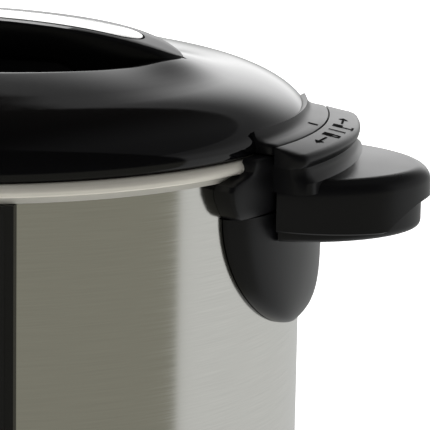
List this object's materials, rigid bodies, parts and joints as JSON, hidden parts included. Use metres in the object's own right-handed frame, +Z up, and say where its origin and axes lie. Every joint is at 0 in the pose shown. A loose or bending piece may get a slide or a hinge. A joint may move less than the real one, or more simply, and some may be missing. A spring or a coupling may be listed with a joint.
{
  "type": "electric pressure cooker",
  "caption": "Round countertop pressure cooker with a locking dome lid, a finger recess under an arched lid bar, side handles, a front control panel and a lift-out pot.",
  "frame": {"origin": "on the body's axis, on the surface that the feet stand on", "axes": "+X towards the right side handle, -Y towards the control panel, +Z up"},
  "size_m": [0.349, 0.2822, 0.2912],
  "materials": {
    "black_plastic": "moulded black plastic",
    "gloss_black": "polished black plastic",
    "brushed_steel": "brushed round the body",
    "polished_steel": "spun and polished",
    "grey_plastic": "satin",
    "foot_rubber": "matte",
    "silicone": "satin",
    "cast_aluminium": "cast",
    "zinc_steel": "zinc plated",
    "heater": "heat-darkened",
    "circuit": "varnished board",
    "panel_gloss": "printed film",
    "display_red": "smoked",
    "key_grey": "satin",
    "clear_plastic": "smoky clear",
    "inlay_silver": "satin silver",
    "float_red": "satin",
    "pin_metal": "nickel plated",
    "switch_cream": "moulded"
  },
  "bodies": {
    "root": {"base_tray": "black_plastic", "foot_1": "foot_rubber", "foot_2": "foot_rubber", "foot_3": "foot_rubber", "foot_4": "foot_rubber", "housing_shell": "brushed_steel", "trim_collar": "grey_plastic", "outer_pot": "polished_steel", "heating_plate": "cast_aluminium", "heating_element": "heater", "support_frame": "zinc_steel", "pressure_switch": "switch_cream", "power_board": "circuit", "control_board": "circuit", "display_module": "black_plastic", "panel_bezel": "gloss_black", "panel_overlay": "panel_gloss", "display_window": "display_red", "power_inlet": "black_plastic", "inlet_pins": "pin_metal", "handle_right": "black_plastic", "handle_left": "black_plastic", "grip_under_right": "black_plastic", "grip_under_left": "black_plastic", "shield_right": "black_plastic", "shield_left": "black_plastic", "handle_screws": "zinc_steel", "base_screws": "zinc_steel", "cup_bracket": "black_plastic", "sensor_spring": "zinc_steel"},
    "pot": {"inner_pot": "polished_steel"},
    "cup": {"condensation_cup": "clear_plastic"},
    "sensor": {"sensor_cup": "cast_aluminium"},
    "seal": {"sealing_ring": "silicone"},
    "lid": {"lid_cover": "gloss_black", "lid_handle": "black_plastic", "handle_inlay": "inlay_silver", "lid_plate": "polished_steel", "ring_support": "polished_steel", "lid_nut": "zinc_steel", "exhaust_pipe": "polished_steel", "anti_block_cap": "polished_steel", "lid_screws": "zinc_steel"},
    "valve": {"steam_valve": "black_plastic"},
    "float": {"float_valve": "float_red", "float_cap": "silicone"},
    "lock": {"lock_slider": "zinc_steel"},
    "key_rice": {"key_rice": "key_grey"},
    "key_soup": {"key_soup": "key_grey"},
    "key_meat": {"key_meat": "key_grey"},
    "key_plus": {"key_plus": "key_grey"},
    "key_timer": {"key_timer": "key_grey"},
    "key_minus": {"key_minus": "key_grey"},
    "key_warm": {"key_warm": "key_grey"},
    "key_start": {"key_start": "key_grey"},
    "key_cancel": {"key_cancel": "key_grey"}
  },
  "joints": [
    {"name": "lid_lift", "type": "slide", "parent": "root", "child": "seal", "axis": [0, 0, 1], "range_m": [0, 0.36]},
    {"name": "lid_turn", "type": "hinge", "parent": "seal", "child": "lid", "pos_m": [0, 0, 0.252], "axis": [0, 0, 1], "range_deg": [0, 30]},
    {"name": "pot_lift", "type": "slide", "parent": "root", "child": "pot", "axis": [0, 0, 1], "range_m": [0, 0.18]},
    {"name": "valve_turn", "type": "hinge", "parent": "lid", "child": "valve", "pos_m": [-0.064, 0.064, 0.27], "axis": [0, 0, 1], "range_deg": [0, 40]},
    {"name": "float_rise", "type": "slide", "parent": "lid", "child": "float", "axis": [0, 0, 1], "range_m": [0, 0.004]},
    {"name": "lock_slide", "type": "slide", "parent": "lid", "child": "lock", "axis": [1, 0, 0], "range_m": [0, 0.006]},
    {"name": "cup_pull", "type": "slide", "parent": "root", "child": "cup", "axis": [0, 1, 0], "range_m": [0, 0.035]},
    {"name": "sensor_press", "type": "slide", "parent": "root", "child": "sensor", "axis": [0, 0, 1], "range_m": [-0.002, 0], "stiffness_N_per_m": 600, "springref_m": 0.002, "deforming": ["sensor_spring"]},
    {"name": "press_rice", "type": "slide", "parent": "root", "child": "key_rice", "axis": [0.2756, 0.9613, 0], "range_m": [0, 0.0012], "stiffness_N_per_m": 400},
    {"name": "press_soup", "type": "slide", "parent": "root", "child": "key_soup", "axis": [0, 1, 0], "range_m": [0, 0.0012], "stiffness_N_per_m": 400},
    {"name": "press_meat", "type": "slide", "parent": "root", "child": "key_meat", "axis": [-0.2756, 0.9613, 0], "range_m": [0, 0.0012], "stiffness_N_per_m": 400},
    {"name": "press_plus", "type": "slide", "parent": "root", "child": "key_plus", "axis": [0.2756, 0.9613, 0], "range_m": [0, 0.0012], "stiffness_N_per_m": 400},
    {"name": "press_timer", "type": "slide", "parent": "root", "child": "key_timer", "axis": [0, 1, 0], "range_m": [0, 0.0012], "stiffness_N_per_m": 400},
    {"name": "press_minus", "type": "slide", "parent": "root", "child": "key_minus", "axis": [-0.2756, 0.9613, 0], "range_m": [0, 0.0012], "stiffness_N_per_m": 400},
    {"name": "press_warm", "type": "slide", "parent": "root", "child": "key_warm", "axis": [0.2756, 0.9613, 0], "range_m": [0, 0.0012], "stiffness_N_per_m": 400},
    {"name": "press_start", "type": "slide", "parent": "root", "child": "key_start", "axis": [0, 1, 0], "range_m": [0, 0.0012], "stiffness_N_per_m": 400},
    {"name": "press_cancel", "type": "slide", "parent": "root", "child": "key_cancel", "axis": [-0.2756, 0.9613, 0], "range_m": [0, 0.0012], "stiffness_N_per_m": 400}
  ],
  "couplings": [
    {"joint": "pot_lift", "follows": "lid_lift", "ratio": 0.48}
  ]
}
